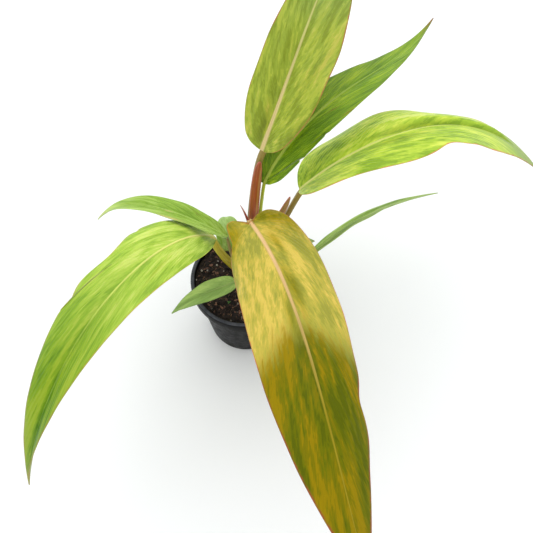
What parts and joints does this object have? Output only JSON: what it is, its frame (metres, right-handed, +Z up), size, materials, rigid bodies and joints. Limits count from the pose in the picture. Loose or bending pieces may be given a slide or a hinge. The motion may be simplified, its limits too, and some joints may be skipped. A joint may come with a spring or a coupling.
{
  "type": "potted philodendron",
  "caption": "Young potted philodendron with long arching mottled orange, lime and green leaves, rising from a short crown in a round black nursery pot of potting mix.",
  "frame": {"origin": "centre of the pot's base, on the surface that it stands on", "axes": "+Z up, the way the plant grows; +X to the right and -Y towards the viewer of the picture, where the largest leaf reaches"},
  "size_m": [0.447, 0.462, 0.3201],
  "materials": {
    "black_plastic": "moulded matte black polypropylene with a soft sheen",
    "potting_mix": "damp dark peat and bark chips",
    "crown_green": "smooth fresh green stem with leaf scars",
    "leaf_orange": "satin leaf mottled yellow, orange and olive, with a pale pink midrib",
    "leaf_lime": "satin leaf mottled lime and yellow-green, with a pale yellow midrib",
    "leaf_green": "satin medium green leaf with faint pale streaks",
    "stalk_olive": "smooth satin olive stalk, tinged pink and brown",
    "sheath_red": "papery ribbed brown-red sheath"
  },
  "bodies": {
    "root": {"pot": "black_plastic", "soil": "potting_mix", "crown": "crown_green", "blade_front": "leaf_orange", "blade_top": "leaf_lime", "blade_rear": "leaf_green", "blade_right": "leaf_lime", "blade_side": "leaf_green", "blade_left": "leaf_lime", "blade_upper_left": "leaf_green", "blade_inner_left": "leaf_green", "blade_low_front": "leaf_green", "blade_inner_right": "leaf_green", "stalk_front": "stalk_olive", "stalk_top": "stalk_olive", "stalk_rear": "stalk_olive", "stalk_right": "stalk_olive", "stalk_side": "stalk_olive", "stalk_left": "stalk_olive", "stalk_upper_left": "stalk_olive", "stalk_inner_left": "stalk_olive", "stalk_low_front": "stalk_olive", "stalk_inner_right": "stalk_olive", "sheath_top": "sheath_red", "sheath_right": "sheath_red", "sheath_dry": "sheath_red"}
  },
  "joints": []
}
